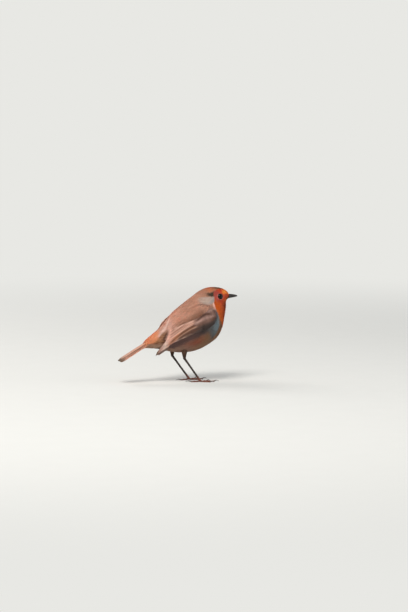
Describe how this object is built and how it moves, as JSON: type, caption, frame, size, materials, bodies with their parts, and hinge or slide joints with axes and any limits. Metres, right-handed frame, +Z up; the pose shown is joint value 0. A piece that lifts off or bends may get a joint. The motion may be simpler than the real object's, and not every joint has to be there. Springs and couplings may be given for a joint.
{
  "type": "European robin, still life-size model",
  "caption": "Still, life-size model of an adult European robin standing alert on both feet, wings folded and tail held low, for a display or a scene.",
  "frame": {"origin": "on the floor under the middle of the bird's overall box, level with the soles of its feet", "axes": "+X the way the bird faces, +Y its left side, +Z up"},
  "size_m": [0.1211, 0.0458, 0.091],
  "materials": {
    "body_plumage": "soft matte feathers: brown above, orange face and breast, blue-grey border, buff-white belly",
    "flight_feathers": "smooth brown feathers with paler edges",
    "bill_horn": "satin dark horn",
    "claw_horn": "satin dark horn",
    "leg_skin": "scaled dark brown skin",
    "eye_gloss": "glossy black-brown"
  },
  "bodies": {
    "root": {"trunk": "body_plumage", "neck": "body_plumage", "head": "body_plumage", "thigh_right": "body_plumage", "thigh_left": "body_plumage", "wing_right": "flight_feathers", "wing_left": "flight_feathers", "tail": "flight_feathers", "bill_upper": "bill_horn", "bill_lower": "bill_horn", "eye_right": "eye_gloss", "eye_left": "eye_gloss", "shank_right": "leg_skin", "shank_left": "leg_skin", "toe_right_1": "leg_skin", "claw_right_1": "claw_horn", "toe_right_2": "leg_skin", "claw_right_2": "claw_horn", "toe_right_3": "leg_skin", "claw_right_3": "claw_horn", "toe_right_4": "leg_skin", "claw_right_4": "claw_horn", "toe_left_1": "leg_skin", "claw_left_1": "claw_horn", "toe_left_2": "leg_skin", "claw_left_2": "claw_horn", "toe_left_3": "leg_skin", "claw_left_3": "claw_horn", "toe_left_4": "leg_skin", "claw_left_4": "claw_horn"}
  },
  "joints": []
}
